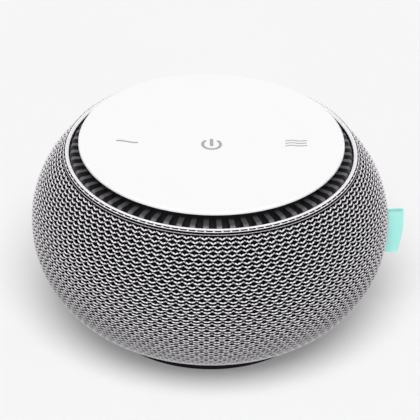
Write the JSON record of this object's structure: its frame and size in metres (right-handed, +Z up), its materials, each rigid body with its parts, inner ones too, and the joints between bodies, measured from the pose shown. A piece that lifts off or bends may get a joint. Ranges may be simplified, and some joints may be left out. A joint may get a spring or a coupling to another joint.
{
  "type": "white noise sound machine",
  "caption": "Round table-top fan sound machine: a knit-covered shell that twists to set the tone, a louvred ring and a flat white touch plate.",
  "frame": {"origin": "on the table, on the fan's axis: the middle of the foot ring's lower face", "axes": "+Z up along the fan's axis, the front faces -Y with the power symbol upright seen from there, the fabric tag is at +X, the cord leaves at +Y"},
  "size_m": [0.1481, 0.142, 0.0793],
  "materials": {
    "foot_rubber": "matt",
    "base_black": "fine grained",
    "slip_white": "smooth, low friction",
    "brass": "turned",
    "mount_charcoal": "fine grained",
    "screw_steel": "zinc plated",
    "bush_bronze": "sintered, oiled",
    "board_green": "lacquered",
    "stator_steel": "stamped",
    "copper": "lacquered copper wire",
    "chip_black": "moulded",
    "lead_black": "soft sleeve",
    "lead_red": "soft sleeve",
    "ribbon_amber": "flexible film",
    "louvre_charcoal": "satin",
    "plate_white": "satin, printed",
    "symbol_grey": "satin",
    "magnet_grey": "bonded ferrite",
    "fan_white": "moulded",
    "knit": "zigzag knit, white over black",
    "hem": "rolled and stitched",
    "tag_turquoise": "woven tape"
  },
  "bodies": {
    "base": {"foot_ring": "foot_rubber", "base_pan": "base_black", "slip_ring": "slip_white", "dc_jack": "base_black", "jack_pin": "brass", "motor_mount": "mount_charcoal", "isolators": "foot_rubber", "isolator_screws": "screw_steel", "bearing_tube": "brass", "bearings": "bush_bronze", "motor_board": "board_green", "stator_core": "stator_steel", "stator_coils": "copper", "sound_drum": "mount_charcoal", "drum_screws": "screw_steel", "top_deck": "mount_charcoal", "deck_screws": "screw_steel", "main_board": "board_green", "board_parts": "chip_black", "board_screws": "screw_steel", "power_lead": "lead_black", "motor_lead": "lead_red", "touch_board": "board_green", "touch_ribbon": "ribbon_amber", "louvre_ring": "louvre_charcoal", "louvre_screws": "screw_steel", "top_plate": "plate_white", "touch_symbols": "symbol_grey"},
    "fan": {"motor_shaft": "screw_steel", "shaft_clip": "screw_steel", "rotor_cup": "stator_steel", "magnet_ring": "magnet_grey", "impeller": "fan_white"},
    "tone_shell": {"shell_frame": "base_black", "shutter_sleeve": "mount_charcoal", "shutter_screws": "screw_steel", "knit_sleeve": "knit", "rim_hem": "hem", "side_tag": "tag_turquoise"}
  },
  "joints": [
    {"name": "fan_spin", "type": "hinge", "parent": "base", "child": "fan", "pos_m": [0, 0, 0.025], "axis": [0, 0, 1], "continuous": true},
    {"name": "tone_twist", "type": "hinge", "parent": "base", "child": "tone_shell", "pos_m": [0, 0, 0.008], "axis": [0, 0, 1], "range_deg": [0, 30]}
  ]
}
